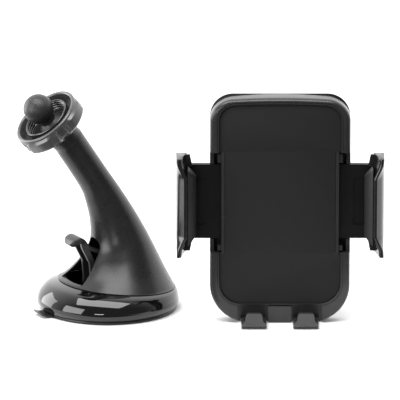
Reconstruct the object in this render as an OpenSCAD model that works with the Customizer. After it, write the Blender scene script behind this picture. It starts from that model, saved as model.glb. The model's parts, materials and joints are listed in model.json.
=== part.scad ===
// Car phone mount: a suction stand with a ball head, and a spring cradle with its ball socket.
// Millimetres, +Z up. The origin is the centre of the suction face, on the surface it holds to.
// The cradle is drawn off the ball, standing upright beside the stand.

/* [Stand] */
// Largest radius of the glossy base ring
ring_r = 35.8; // [35.3:0.1:36.3]
// Direction in which the neck leans, in degrees from +X
lean_angle = 208; // [190:1:225]
// Tilt of the ball's neck from vertical, in degrees
neck_tilt = 40; // [38:1:42]
// Diameter of the ball
ball_d = 15; // [14.6:0.1:15.2]
// Rise of the plunger when the lever locks
lock_rise = 3; // [2.5:0.1:3.2]

/* [Collar] */
// Width of the collar nut across its lugs
collar_w = 37; // [36:0.5:38]
// Axial length of the collar nut
collar_len = 9.4; // [9:0.1:10]

/* [Cradle] */
// Width of the cradle case
case_w = 69.8; // [69:0.1:72]
// Height of the top of the case above the floor
case_top = 115.5; // [114:0.5:117]
// Depth of the case, front rim to back cover
case_d = 12; // [12:0.1:13]
// Distance from the stand's axis to the cradle's centre line
cradle_x = 85.8; // [84:0.5:100]
// Height of the jaws' centre line and of the socket
grip_z = 62; // [61:0.5:63]
// Height of each jaw
jaw_h = 50.6; // [50:0.2:52]
// Distance from the centre line to the open jaws' pads
jaw_open = 41.7; // [41.5:0.1:44]

/* [Hidden] */

$fn = 64;
cut = 0.1;

// Colours
gloss_black = "#111113";
satin_black = "#242426";
rubber_black = "#1c1c1d";
steel = "#9a9ca0";

// ---- stand: everything below is drawn with +X along the lean, then turned ----
// Suction cup and gel pad
gel_r = 31.8;
gel_t = 0.8;
cup_r = 34;
cup_t = 2;
tab_reach = 40.8;
tab_w = 11;
boss_r = 7.5;
boss_top = 7.9;
foot_r = 5;
foot_z = 2.7;
foot_t = 1.2;

// Base frame
frame_r = 31;
frame_z = 4.4;
frame_top = 7;
skirt_r = 32.8;
skirt_t = 2.2;
cam_seat_z = 9.35;
boss_hole_r = 8;

// Flare of the arm where it meets the base ring
flare_u = -4.65;
flare_z = 12.4;
flare_r = 29.6;
flare_tilt = -5.2;
seam_step = 0.1;

// Stations of the arm: distance along the lean, height, radius, tilt of the section
ARM = [
    [flare_u, flare_z, flare_r, flare_tilt],
    [-5.4, 18.5, 24.6, -1.5],
    [-5.8, 24, 20.9, 2],
    [-6, 29.3, 17.9, 5],
    [-5.3, 36.9, 14.4, 11],
    [-1.7, 47.9, 11.4, 20],
    [3.2, 58.9, 9.3, 26],
    [8.6, 68.6, 8.15, 31],
    [22.7, 89.8, 8, 39.5]
];
arm_steps = 3;
arm_fn = 40;
arm_wall = 2;
arm_slice = 0.05;
arm_end = 11;

// Base ring, stations as for the arm, from the rim under it to the seam above
RING = [
    [0.4, 2.3, ring_r - 0.9, 0],
    [0.4, 4.2, ring_r, 0],
    [0.3, 6.6, ring_r - 0.2, -0.5],
    [-0.5, 9, ring_r - 1.2, -2],
    [-2.2, 11.2, ring_r - 3.2, -4],
    [flare_u, flare_z - seam_step, flare_r + 0.2, flare_tilt]
];

// Ball and neck
ball_u = 38.8;
ball_z = 107.3;
ball_r = ball_d / 2;
stud_r = 4;
stud_foot_r = 7.2;
shank_r = 3;
shank_len = 7;

// Lever and its pin
pin_u = 3.5;
pin_z = 13;
pin_r = 1.2;
head_half = 3;
cheek_in = 3.3;
cheek_t = 1.6;
lever_angle = 41;
cam_r = 5;
cam_e = lock_rise / (2 * sin(lever_angle / 2));
plate_half = 4.8;
paddle_half = 5.5;
paddle_end = 23.2;

// Slot that the lever swings in
slot_r = 6.4;
slot_top = 31;
slot_low = 14.6;
slot_low_half = 11;
slot_sill = 13.5;

// ---- collar, along the neck, from the ball's centre ----
collar_front = -5.5;
collar_back = collar_front - collar_len;
collar_r = collar_w / 2;
collar_body_r = 17.4;
recess_r = 15.4;
lug_turn = 37;
insert_in = 11.2;
insert_out = 12.2;
guide_in = 8.25;
guide_out = 9.1;
thread_pitch = 1.4;

// ---- cradle, drawn with its front rim at y = 0 and its centre line at x = 0 ----
face_y = -30;
case_low = 0;
corner_top = 11.5;
corner_low = 19.5;
rim_step = 0.9;
pad_seat = 1.6;
pad_t = 0.8;
front_wall = 3.4;
wall = 2;
cover_y = 10;
notch_in = 29.2;
notch_deep = 3.5;
slide_half = 19;
slide_front = 3.7;
bar_front = 5.2;
slide_back = 7.2;
slide_end = 45.8;
slide_edge = 20.5;
play = 0.3;

// Rack and pinion
gear_m = 1;
teeth = 10;
gear_pitch_r = gear_m * teeth / 2;
addendum = 0.8;
pressure = 25;
gear_tip_r = gear_pitch_r + addendum;
gear_root_r = gear_pitch_r - 1.1;
tooth_half = 0.66;
axle_r = 1.5;
bar_in = 6.2;
bar_out = 10;
bar_reach = 18;

// Socket
socket_y = 22;
seat_in = ball_r + 0.15;
seat_out = ball_r + 1.5;
cavity_r = ball_r + 1.7;
grip_r = ball_r + 0.25;
collet_r = 11;
collet_end = 29;
flange_r = 13.6;
hub_r = 17;
hub_end = 17;

// Jaw sections
jaw_front = -11.5;
jaw_back = 3.2;
jaw_out = 51.7;
jaw_tip = 48.2;
jaw_flare = 3.2;
// Height above the jaw's middle, and share of the full flare there
JAW_ENDS = [[15, 0], [17.6, 0.36], [21.7, 0.88], [jaw_h / 2, 1]];

// Bottom support
feet_in = 6.6;
feet_w = 12.6;
feet_front = -13;
foot_wall = 2.4;
foot_lip_h = 8.6;
foot_round = 4.5;
tab_half = 5.85;

// ---------------------------------------------------------------- helpers

module stand() {
    rotate([0, 0, lean_angle]) children();
}

// Frame of the ball's neck: origin at the ball's centre, +Z out of the neck
module neck() {
    stand() translate([ball_u, 0, ball_z]) rotate([0, neck_tilt, 0]) children();
}

module cradle() {
    translate([cradle_x, face_y, 0]) children();
}

// Turns a profile drawn about +Z so that it runs along +Y, at the socket's height
module along_y() {
    translate([0, 0, grip_z]) rotate([-90, 0, 0]) children();
}

// Extrudes an outline drawn in x and z, from one depth to another
module depth(from, to) {
    translate([0, to, 0]) rotate([90, 0, 0]) linear_extrude(to - from) children();
}

// Extrudes an outline drawn in x and y, from one height to another
module height(from, to) {
    translate([0, 0, from]) linear_extrude(to - from) children();
}

module block(x0, x1, y0, y1, z0, z1) {
    translate([x0, y0, z0]) cube([x1 - x0, y1 - y0, z1 - z0]);
}

module tube(r_out, r_in, z0, z1) {
    difference() {
        translate([0, 0, z0]) cylinder(r = r_out, h = z1 - z0);
        translate([0, 0, z0 - cut]) cylinder(r = r_in, h = z1 - z0 + 2 * cut);
    }
}

// Countersunk screw along -Z, its head's top at z = 0
module screw(shank, length, head, head_h) {
    difference() {
        union() {
            translate([0, 0, -length]) cylinder(r = shank, h = length, $fn = 24);
            translate([0, 0, -head_h]) cylinder(r = head, h = head_h, $fn = 24);
        }
        for (turn = [0, 90])
            rotate([0, 0, turn]) block(-head * 0.6, head * 0.6, -0.2, 0.2, -head_h / 2, cut);
    }
}

// Corner of a square less its quarter circle, for rounding a corner exactly
module corner(r) {
    difference() {
        translate([-cut, -cut]) square(r + cut);
        translate([r, r]) circle(r);
    }
}

// Rounded outline of the case, drawn in by an inset
module case_outline(inset) {
    half = case_w / 2 - inset;
    low = case_low + inset;
    top = case_top - inset;
    difference() {
        translate([-half, low]) square([2 * half, top - low]);
        for (side = [0, 1]) mirror([side, 0]) {
            translate([-half, low]) corner(corner_low - inset);
            translate([-half, top]) mirror([0, 1]) corner(corner_top - inset);
        }
    }
}

// Outline of the soft pad on the face: narrower between the jaws' notches
module face_outline(inset) {
    top_half = 30.2 - inset;
    mid_half = notch_in - 1.7 - inset;
    low = 10 + inset;
    top = case_top - 3 - inset;
    notch_half = jaw_h / 2 + 1 + inset;
    difference() {
        translate([-top_half, low]) square([2 * top_half, top - low]);
        for (side = [0, 1]) mirror([side, 0]) {
            translate([-top_half - cut, grip_z - notch_half])
                square([top_half - mid_half + cut, 2 * notch_half]);
            translate([-top_half, low]) corner(11);
            translate([-top_half, top]) mirror([0, 1]) corner(8);
        }
    }
}

// Catmull-Rom value between b and c, at t from 0 to 1
function blend(a, b, c, d, t) =
    b + t / 2 * (c - a + t * (2 * a - 5 * b + 4 * c - d + t * (3 * b - 3 * c + d - a)));

function station(list, i) = list[max(0, min(len(list) - 1, i))];

function smooth(list, steps) = [
    for (i = [0 : len(list) - 2], s = [0 : steps - 1])
        blend(station(list, i - 1), list[i], list[i + 1], station(list, i + 2), s / steps),
    list[len(list) - 1]
];

// Skin over a list of stations, each drawn in by an inset
module loft(list, inset) {
    for (i = [0 : len(list) - 2])
        hull() for (at = [list[i], list[i + 1]])
            translate([at[0], 0, at[1]]) rotate([0, at[3], 0])
                cylinder(r = at[2] - inset, h = arm_slice, $fn = arm_fn);
}

// ---------------------------------------------------------------- stand

module gel_pad() {
    color(rubber_black) stand() cylinder(r = gel_r, h = gel_t);
}

// Disc with a thicker middle, a hollow boss for the plunger's foot, and a pull tab
module suction_cup() {
    color(rubber_black) stand() difference() {
        union() {
            cylinder(r = cup_r, h = cup_t);
            cylinder(r = boss_r, h = boss_top);
            intersection() {
                block(0, tab_reach, -tab_w / 2, tab_w / 2, 0, cup_t);
                cylinder(r = tab_reach, h = cup_t);
            }
        }
        translate([0, 0, -cut]) cylinder(r = gel_r + 0.05, h = gel_t + cut);
        translate([0, 0, foot_z - 0.1]) cylinder(r = foot_r + play, h = foot_t + lock_rise + 0.4);
        translate([0, 0, foot_z]) cylinder(r = 2.8, h = boss_top);
    }
}

// Chassis: disc, skirt that presses the cup's edge, cam seat and the plunger's guide
module base_frame() {
    color(satin_black) stand() difference() {
        union() {
            translate([0, 0, frame_z]) cylinder(r = frame_r, h = frame_top - frame_z);
            tube(skirt_r, skirt_r - skirt_t, cup_t, frame_top);
            block(-9, 13.5, -8.8, 8.8, frame_z, cam_seat_z);
            for (turn = [90, 180, 270]) rotate([0, 0, turn])
                translate([27, 0, frame_z]) cylinder(r = 2.6, h = 4.4);
        }
        translate([0, 0, frame_z - cut]) cylinder(r = boss_hole_r, h = boss_top + 0.2 - frame_z);
        cylinder(r = 2.6, h = 20);
        base_screw_places() translate([0, 0, -cut]) cylinder(r = 1.3, h = 20);
        base_screw_places() cylinder(r = 2.6, h = 5.8);
    }
}

module base_screw_places() {
    for (turn = [90, 180, 270])
        translate([flare_u, 0, 0]) rotate([0, 0, turn]) translate([15.5, 0, 0]) children();
}

// Glossy trim ring between the suction cup and the arm
module base_ring() {
    rings = smooth(RING, 2);
    color(gloss_black) stand() difference() {
        loft(rings, 0);
        difference() {
            translate([0, 0, -0.4]) loft(rings, arm_wall);
            translate([0, 0, 9.6]) tube(60, 24, 0, 20);
        }
        translate([0, 0, 1]) cylinder(r = skirt_r + 0.1, h = 6.6);
        translate([flare_u, 0, flare_z]) rotate([0, flare_tilt, 0])
            translate([0, 0, -4]) cylinder(r = flare_r - 4, h = 20);
    }
}

// Hollow leaning arm with the lever's slot, its solid end and the three screw bosses
module arm_shell() {
    path = smooth(ARM, arm_steps);
    hollow = [for (i = [0 : len(path) - 3]) path[i]];
    color(satin_black) difference() {
        union() {
            stand() difference() {
                loft(path, 0);
                difference() {
                    translate([0, 0, -0.3]) loft(hollow, arm_wall);
                    base_screw_places() {
                        translate([0, 0, frame_top]) cylinder(r = 3, h = 9, $fn = 24);
                        block(0, 20, -0.8, 0.8, 9, 16);
                    }
                }
            }
            stand() base_screw_places() translate([0, 0, frame_top]) cylinder(r = 3, h = 8, $fn = 24);
            neck() translate([0, 0, -25]) cylinder(r = 8, h = 25 - arm_end, $fn = arm_fn);
        }
        stand() slot();
        stand() base_screw_places() cylinder(r = 1.25, h = 13, $fn = 24);
        neck() translate([0, 0, -arm_end - shank_len - 0.2]) cylinder(r = shank_r + 0.05, h = 20);
    }
}

module slot() {
    translate([4, 0, 0]) rotate([90, 0, 90]) linear_extrude(40) union() {
        translate([0, slot_top]) circle(slot_r, $fn = 40);
        polygon([
            [-slot_r, slot_top], [slot_r, slot_top], [slot_r + 0.9, 26],
            [slot_low_half, slot_low], [slot_low_half, slot_sill],
            [-slot_low_half, slot_sill], [-slot_low_half, slot_low], [-slot_r - 0.9, 26]
        ]);
    }
}

module ball_stud() {
    color(satin_black) neck() union() {
        sphere(r = ball_r);
        translate([0, 0, -arm_end]) cylinder(r = stud_r, h = arm_end);
        translate([0, 0, -arm_end]) cylinder(r1 = stud_foot_r, r2 = stud_r, h = 2.4);
        translate([0, 0, -arm_end - shank_len]) cylinder(r = shank_r, h = shank_len);
    }
}

module base_screws() {
    color(steel) stand() base_screw_places()
        translate([0, 0, 4.6]) mirror([0, 0, 1]) screw(1.2, 8, 2.4, 1.2);
}

// Foot held in the cup's boss, rod, and a head that carries the lever's pin
module plunger() {
    color(steel) stand() difference() {
        union() {
            translate([0, 0, foot_z]) cylinder(r = foot_r, h = foot_t);
            translate([0, 0, foot_z]) cylinder(r = 2.5, h = 8);
            block(-2.5, pin_u, -head_half, head_half, cam_seat_z + 0.25, pin_z + 2.6);
            translate([pin_u, head_half, pin_z]) rotate([90, 0, 0])
                cylinder(r = 2.6, h = 2 * head_half);
        }
        pin_bore(pin_r);
    }
}

module pin_bore(r) {
    translate([pin_u, 20, pin_z]) rotate([90, 0, 0]) cylinder(r = r, h = 40, $fn = 32);
}

module lever_pin() {
    length = 2 * (cheek_in + cheek_t) - 0.2;
    color(steel) stand() translate([pin_u, length / 2, pin_z]) rotate([90, 0, 0])
        cylinder(r = pin_r, h = length, $fn = 32);
}

// Two cheeks with round cams, and the curved top plate that ends in the thumb paddle
module lever() {
    cam = [pin_u + cam_e * cos(lever_angle / 2), pin_z + cam_e * sin(lever_angle / 2)];
    color(satin_black) stand() difference() {
        union() {
            for (side = [0, 1]) mirror([0, side, 0]) cheek(cam);
            lever_plate(plate_half, 0, 13);
            intersection() {
                lever_plate(paddle_half, 13, 40);
                translate([paddle_end - paddle_half, 0, 0]) union() {
                    cylinder(r = paddle_half, h = 60);
                    block(-10, 0, -paddle_half, paddle_half, 0, 60);
                }
            }
        }
        pin_bore(pin_r + 0.05);
    }
}

module cheek(cam) {
    translate([0, cheek_in + cheek_t, 0]) rotate([90, 0, 0]) linear_extrude(cheek_t) union() {
        translate(cam) circle(cam_r);
        translate([pin_u, pin_z]) circle(3.2);
        polygon([
            cam, [11.9, 17], [13, 25.2], [17.2, 33.6], [18, 36.4], [16.6, 36.6],
            [13.6, 33.8], [12.6, 31.4], [10.2, 26], [8.4, 22.4], [6, 19]
        ]);
    }
}

// The plate's side view, kept between two distances along the lean
module lever_plate(half, from, to) {
    intersection() {
        translate([0, half, 0]) rotate([90, 0, 0]) linear_extrude(2 * half) polygon([
            [1.6, 29.1], [2.2, 27.7], [6.7, 29.5], [11.6, 31.3], [14.7, 33.7], [16.75, 36.1],
            [18.5, 37], [19.8, 36.6], [20.6, 35.8], [21.3, 35.2], [22.3, 35.2], [23, 36.4],
            [22.6, 37.8], [21.2, 39.3], [19.6, 39.8], [17.9, 39.6], [15.25, 37.7], [13.3, 35.1],
            [10.8, 32.7], [6.1, 30.9]
        ]);
        block(from, to, -half, half, 0, 60);
    }
}

// Bush that slides on the arm's end and carries the collar nut
module collar_guide() {
    color(satin_black) neck() union() {
        tube(guide_out, guide_in, collar_back + 0.2, collar_back + 3);
        tube(guide_out + 1, guide_in, collar_back + 2.4, collar_back + 3.2);
    }
}

// Four-lobed nut with a deep front recess and a groove between each two lobes
module collar_nut() {
    floor_z = collar_back + 3.4;
    color(gloss_black) neck() difference() {
        union() {
            rotate_extrude() polygon([
                [0, collar_back], [collar_body_r - 2.2, collar_back],
                [collar_body_r - 0.6, collar_back + 1.2], [collar_body_r, collar_back + 3],
                [collar_body_r, collar_front - 0.9], [collar_body_r - 0.8, collar_front],
                [0, collar_front]
            ]);
            intersection() {
                translate([0, 0, collar_back + 0.6]) linear_extrude(collar_len - 2)
                    for (turn = [0 : 90 : 270]) rotate(turn + lug_turn) lug_outline();
                rotate_extrude() polygon([
                    [0, collar_back], [collar_r - 2.4, collar_back], [collar_r, collar_back + 2.6],
                    [collar_r, collar_front - 2.4], [collar_r - 1, collar_front], [0, collar_front]
                ]);
            }
        }
        for (turn = [0 : 90 : 270]) rotate(turn + lug_turn + 45)
            translate([0, 0, collar_back - cut]) linear_extrude(collar_len - 1.9) polygon([
                [collar_r, -3.6], [collar_body_r - 1.3, -1.1], [collar_body_r - 1.3, 1.1],
                [collar_r, 3.6]
            ]);
        translate([0, 0, floor_z]) cylinder(r = recess_r, h = collar_len);
        translate([0, 0, collar_back - cut]) cylinder(r = guide_out + 0.1, h = collar_len);
        translate([0, 0, collar_back + 2.2]) cylinder(r = guide_out + 1.2, h = collar_len);
    }
}

module lug_outline() {
    polygon([
        [0, -9.5], [collar_body_r - 2, -9.5], [collar_r, -6], [collar_r, 6],
        [collar_body_r - 2, 9.5], [0, 9.5]
    ]);
}

// Threaded ring in the nut, ribbed inside
module thread_insert() {
    low = collar_back + 3.4;
    color(satin_black) neck() difference() {
        tube(insert_out, insert_in, low, collar_front - 0.6);
        for (i = [0 : 2]) translate([0, 0, low + 1.2 + i * thread_pitch]) rotate_extrude()
            translate([insert_in, 0]) polygon([[-cut, -0.4], [0.45, 0], [-cut, 0.4]]);
    }
}

// ---------------------------------------------------------------- socket

// Cap of hard rubber that the ball bears on
module ball_seat() {
    color(rubber_black) cradle() along_y() translate([0, 0, socket_y]) rotate_extrude()
        intersection() {
            difference() {
                circle(seat_out);
                circle(seat_in);
            }
            polygon([[0, 0], [0, -20], [17, -20]]);
        }
}

// Split socket with a thread outside and a flange inside the case
module collet() {
    color(satin_black) cradle() along_y() difference() {
        rotate_extrude() polygon(concat(
            [[0, 10.2], [flange_r, 10.2], [flange_r, 12.2], [collet_r, 12.2], [collet_r, 22]],
            [for (i = [0 : 3], p = [[-0.6, 0.4], [0, 0.7], [0, 1], [-0.6, 1.3]])
                [collet_r + p[0], 22 + i * thread_pitch + p[1]]],
            [[collet_r - 0.6, collet_end - 0.8], [collet_r - 1.4, collet_end], [0, collet_end]]
        ));
        translate([0, 0, socket_y]) rotate_extrude() intersection() {
            circle(cavity_r);
            translate([0, -20]) square([20, 20]);
        }
        translate([0, 0, socket_y]) rotate_extrude() intersection() {
            circle(grip_r);
            square(20);
        }
        translate([0, 0, collet_end - 2.6]) cylinder(r1 = 5.8, r2 = 8.2, h = 2.7);
        for (turn = [0 : 60 : 150]) rotate([0, 0, turn + 30])
            block(-20, 20, -0.8, 0.8, 15.5, collet_end + cut);
    }
}

// ---------------------------------------------------------------- cradle

module front_shell() {
    color(satin_black) cradle() difference() {
        union() {
            difference() {
                union() {
                    depth(0, rim_step) case_outline(rim_step);
                    depth(rim_step, cover_y) case_outline(0);
                }
                depth(-cut, pad_seat) face_outline(-play / 2);
                depth(front_wall, cover_y + cut) case_outline(wall);
                chin_relief();
            }
            cover_bosses() depth(front_wall - cut, cover_y - play) circle(3, $fn = 32);
            for (side = [-1, 1], end = [-1, 1])
                translate([side * 20, 0, grip_z + end * (slide_half + 1.2)])
                    block(-12.5, 12.5, front_wall - cut, 8, -0.7, 0.7);
            centre_tab();
        }
        jaw_notches();
        feet_slots();
        cover_bosses() depth(front_wall, cover_y) circle(0.85, $fn = 24);
        along_y() translate([0, 0, 2.2]) cylinder(r = axle_r, h = 4, $fn = 32);
    }
}

// Sloping chin under the pad
module chin_relief() {
    translate([-21, 0, 0]) rotate([90, 0, 90]) linear_extrude(42)
        polygon([[-cut, 9.9], [1.2, 9.9], [2.6, 3.2], [2.6, -1], [-cut, -1]]);
}

module centre_tab() {
    block(-tab_half, tab_half, 0.4, front_wall, case_low, 8.6);
}

module jaw_notches() {
    for (side = [0, 1]) mirror([side, 0, 0]) {
        block(notch_in, 50, -1, notch_deep, grip_z - jaw_h / 2 - 0.4, grip_z + jaw_h / 2 + 0.4);
        block(notch_in - 2.3, 50, slide_front - 0.2, slide_back + 0.2,
            grip_z - slide_half - 0.3, grip_z + slide_half + 0.3);
    }
}

module feet_slots() {
    for (side = [0, 1]) mirror([side, 0, 0])
        block(feet_in - play, feet_in + feet_w + play, -1, 7, -1, 3.8);
    block(-feet_in - feet_w - play, feet_in + feet_w + play, 3.7, 6.9, -1, 3.8);
}

module cover_bosses() {
    for (x = [-25, 25], z = [17, 104]) translate([x, 0, z]) children();
}

module face_pad() {
    color(rubber_black) cradle() depth(pad_seat - pad_t, pad_seat) face_outline(0);
}

// Back cover with the socket's hub and the release button's slot
module back_cover() {
    color(satin_black) cradle() difference() {
        union() {
            depth(cover_y, case_d - 0.8) case_outline(0);
            depth(case_d - 0.8, case_d) case_outline(rim_step);
            along_y() tube(hub_r, collet_r + play, 12.4, hub_end);
            along_y() translate([0, 0, case_d - 1]) cylinder(r = hub_r + 2, h = 2.4);
            block(-2.4, 2.4, 7.4, cover_y + cut, 22.2, 24);
        }
        along_y() translate([0, 0, cover_y - cut]) cylinder(r = flange_r + play, h = 2.5);
        along_y() translate([0, 0, cover_y]) cylinder(r = collet_r + play, h = 20);
        block(-2.8, 2.8, cover_y - cut, 20, 31.2, 38.3);
        cover_bosses() depth(cover_y - cut, 20) circle(1.2, $fn = 24);
        cover_bosses() depth(case_d - 1.1, 20) circle(2.4, $fn = 24);
        retainer_places() depth(cover_y - cut, case_d - 0.5) circle(0.8, $fn = 24);
    }
}

module retainer_places() {
    for (x = [-11.2, 11.2], z = [-11.2, 11.2]) translate([x, 0, grip_z + z]) children();
}

// Plate that keeps the collet's flange in the cover
module retainer_plate() {
    color(steel) cradle() difference() {
        along_y() translate([0, 0, 8.7]) cylinder(r = 18.4, h = cover_y - 8.7);
        along_y() translate([0, 0, 8]) cylinder(r = 6, h = 4);
        retainer_places() depth(8, 11) circle(1, $fn = 24);
    }
}

module retainer_screws() {
    color(steel) cradle() retainer_places() translate([0, 8.05, 0]) rotate([90, 0, 0])
        screw(0.75, 3.2, 1.5, 0.6);
}

module back_screws() {
    color(steel) cradle() cover_bosses() translate([0, case_d - 0.1, 0]) rotate([-90, 0, 0])
        screw(0.8, 6, 2.1, 0.9);
}

module pinion_axle() {
    color(steel) cradle() along_y() translate([0, 0, 2.2])
        cylinder(r = axle_r, h = 6.2, $fn = 32);
}

// Wire spring round the axle that opens the jaws
module torsion_spring() {
    color(steel) cradle() along_y() for (i = [0 : 2])
        translate([0, 0, 3.75 + i * 0.5]) rotate_extrude() translate([2.4, 0])
            circle(0.24, $fn = 16);
}

// Return spring under the release button's stem
module button_spring() {
    turns = 7;
    color(steel) cradle() translate([0, 8.75, 24.25]) for (i = [0 : turns - 1])
        translate([0, 0, i * 9.4 / (turns - 1)]) rotate_extrude() translate([1, 0])
            circle(0.24, $fn = 16);
}

// Point of an involute flank at roll angle t, for a base radius of rb
function involute(rb, t) = rb * [cos(t) + t * PI / 180 * sin(t), sin(t) - t * PI / 180 * cos(t)];

function flank(t_max, count) = [
    for (i = [0 : count]) involute(gear_pitch_r * cos(pressure), t_max * i / count)
];

function turned(p, a) = [p[0] * cos(a) - p[1] * sin(a), p[0] * sin(a) + p[1] * cos(a)];

module pinion() {
    base_r = gear_pitch_r * cos(pressure);
    roll = sqrt(pow(gear_tip_r / base_r, 2) - 1) * 180 / PI;
    pitch_roll = tan(pressure) * 180 / PI;
    back = pitch_roll - pressure + tooth_half / gear_pitch_r * 180 / PI;
    right = [for (p = flank(roll, 5)) turned(p, -back)];
    left = [for (i = [5 : -1 : 0]) [right[i][0], -right[i][1]]];
    color("#d8d8d4") cradle() along_y() difference() {
        union() {
            translate([0, 0, bar_front]) linear_extrude(slide_back - bar_front) union() {
                circle(gear_root_r);
                for (i = [0 : teeth - 1]) rotate([0, 0, i * 360 / teeth])
                    polygon(concat([[2, -1]], right, left, [[2, 1]]));
            }
            translate([0, 0, slide_back]) cylinder(r = 3, h = 0.8);
        }
        cylinder(r = axle_r + 0.05, h = 20, $fn = 32);
    }
}

// Slide plate with its rack bar; drawn for the left side, with the bar above the pinion
module rack() {
    pitch = PI * gear_m;
    slant = addendum * tan(pressure);
    union() {
        difference() {
            block(-slide_end, -slide_edge, slide_front, slide_back, -slide_half, slide_half);
            block(-43.6, 0, bar_front - 0.15, 9, -bar_out - play, addendum + play - gear_pitch_r);
            block(-42, -36.5, slide_front - 1, slide_front + 0.5, -12, 12);
        }
        block(-slide_edge - 1, bar_reach, bar_front, slide_back, bar_in, bar_out);
        for (i = [-5 : 5])
            translate([i * pitch, slide_back, gear_pitch_r]) rotate([90, 0, 0])
                linear_extrude(slide_back - bar_front) polygon([
                    [-tooth_half - 1.6 * slant, 1.3], [-tooth_half + slant, -addendum],
                    [tooth_half - slant, -addendum], [tooth_half + 1.6 * slant, 1.3]
                ]);
        block(-slide_end - 3.6, -slide_end + cut, 4.4, 6.2, -12, 12);
    }
}

module rack_screw_places() {
    for (z = [-8, 8]) translate([-slide_end - 1.9, 0, z]) children();
}

// Upright jaw: a straight middle and two ends that flare outwards
module jaw() {
    difference() {
        union() {
            height(-JAW_ENDS[0][0], JAW_ENDS[0][0]) jaw_section(0);
            for (side = [0, 1], i = [0 : 2]) mirror([0, 0, side]) hull()
                for (at = [JAW_ENDS[i], JAW_ENDS[i + 1]])
                    height(at[0] - 0.1, at[0]) jaw_section(at[1]);
            block(-jaw_out, -slide_end, jaw_back - 1, slide_back, -slide_half, slide_half);
            for (side = [0, 1]) mirror([0, 0, side])
                depth(0.8, jaw_back) polygon([
                    [-slide_end - 1, 19.6], [-43.8, 19.6], [-44.8, jaw_h / 2 - 0.6],
                    [-slide_end - 2, jaw_h / 2 - 0.6]
                ]);
        }
        block(-slide_end - 3.8, -slide_end + 1, 4.3, 6.3, -12.1, 12.1);
        rack_screw_places() depth(2, 20) circle(0.8, $fn = 24);
        rack_screw_places() depth(6.2, 20) circle(1.7, $fn = 24);
    }
}

// Plan of the jaw at its middle (0) and at its flared end (1)
module jaw_section(end) {
    flare = end * jaw_flare;
    polygon([
        [-slide_end - end * 0.6, jaw_back], [-slide_end - flare, jaw_front + 2],
        [-slide_end - 0.6 - flare, jaw_front], [-jaw_tip - flare + 0.8, jaw_front],
        [-jaw_tip - flare, jaw_front + 1], [-jaw_out + 0.9 - end * 0.9, -6],
        [-jaw_out, -1], [-jaw_out, jaw_back]
    ]);
}

// Soft pad on the jaw's inner face, bevelled all round
module jaw_pad() {
    intersection() {
        height(-19.6, 19.6) polygon([
            [-slide_end, -0.6], [-slide_end, jaw_front + 0.6],
            [-jaw_open - 2.2, jaw_front + 1.8], [-jaw_open, jaw_front + 5],
            [-jaw_open, -2.2], [-jaw_open - 0.8, -0.6]
        ]);
        depth(-20, 0) polygon([
            [-slide_end, -19.6], [-slide_end, 19.6], [-jaw_open, 15], [-jaw_open, -15]
        ]);
    }
}

module left_side() {
    cradle() translate([0, 0, grip_z]) children();
}

// The right side is the left one turned half a turn about the pinion
module right_side() {
    cradle() translate([0, 0, grip_z]) mirror([1, 0, 0]) mirror([0, 0, 1]) children();
}

module left_rack() {
    color(satin_black) left_side() difference() {
        rack();
        rack_screw_places() depth(2, 20) circle(0.8, $fn = 24);
    }
}

module right_rack() {
    color(satin_black) right_side() difference() {
        rack();
        rack_screw_places() depth(2, 20) circle(0.8, $fn = 24);
    }
}

module left_jaw() {
    color(gloss_black) left_side() jaw();
}

module right_jaw() {
    color(gloss_black) right_side() jaw();
}

module left_jaw_pad() {
    color(rubber_black) left_side() jaw_pad();
}

module right_jaw_pad() {
    color(rubber_black) right_side() jaw_pad();
}

module jaw_screws() {
    rack_screw_places() translate([0, slide_back - 0.1, 0]) rotate([-90, 0, 0])
        screw(0.75, 4.6, 1.6, 0.8);
}

module left_jaw_screws() {
    color(steel) left_side() jaw_screws();
}

module right_jaw_screws() {
    color(steel) right_side() jaw_screws();
}

// Thumb slide on the back; it draws the pawl down off the rack
module release_button() {
    color(gloss_black) cradle() union() {
        difference() {
            block(-6, 6, case_d + 0.2, case_d + 2.6, 30.5, 41.5);
            for (i = [0 : 3]) block(-7, 7, case_d + 2.1, case_d + 3, 32.2 + i * 2.4, 33.2 + i * 2.4);
        }
        block(-2.5, 2.5, 7.4, case_d + 0.3, 34, 38);
    }
}

module pawl() {
    color(steel) cradle() difference() {
        block(-2.4, 2.4, bar_front, 7.4, 33, grip_z - bar_out - 0.25);
        for (side = [0, 1]) mirror([side, 0, 0]) translate([0.4, 0, grip_z - bar_out - 0.25])
            rotate([0, 40, 0]) block(0, 9, 0, 9, 0, 9);
    }
}

// Sliding bottom support with two forward feet
module foot_slide() {
    color(satin_black) cradle() union() {
        difference() {
            block(-feet_in - feet_w, feet_in + feet_w, 4, 6.6, 1.2, 28);
            for (side = [0, 1]) mirror([side, 0, 0]) block(9, 14, 0, 9, 9, 23);
        }
        for (side = [0, 1]) mirror([side, 0, 0]) translate([feet_in, 0, 0]) foot();
    }
}

module foot() {
    intersection() {
        union() {
            block(0, feet_w, feet_front + 2, 6.6, 0, foot_wall);
            block(0, feet_w, feet_front, feet_front + 2.4, 0, foot_lip_h);
        }
        rotate([90, 0, 90]) linear_extrude(feet_w) difference() {
            translate([feet_front, 0]) square([30, 20]);
            translate([feet_front, 0]) corner(foot_round);
        }
        depth(-20, 10) polygon([
            [0, 0], [feet_w, 0], [feet_w, 2.8], [feet_w - 1.9, 4.6], [feet_w - 2.3, foot_lip_h - 0.9],
            [feet_w - 3.2, foot_lip_h], [3.2, foot_lip_h], [2.3, foot_lip_h - 0.9], [1.9, 4.6], [0, 2.8]
        ]);
    }
}

module foot_pads() {
    color(rubber_black) cradle() for (side = [0, 1]) mirror([side, 0, 0])
        block(feet_in + 1, feet_in + feet_w - 1, feet_front + 2.6, -0.6, foot_wall, foot_wall + 0.8);
}

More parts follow.
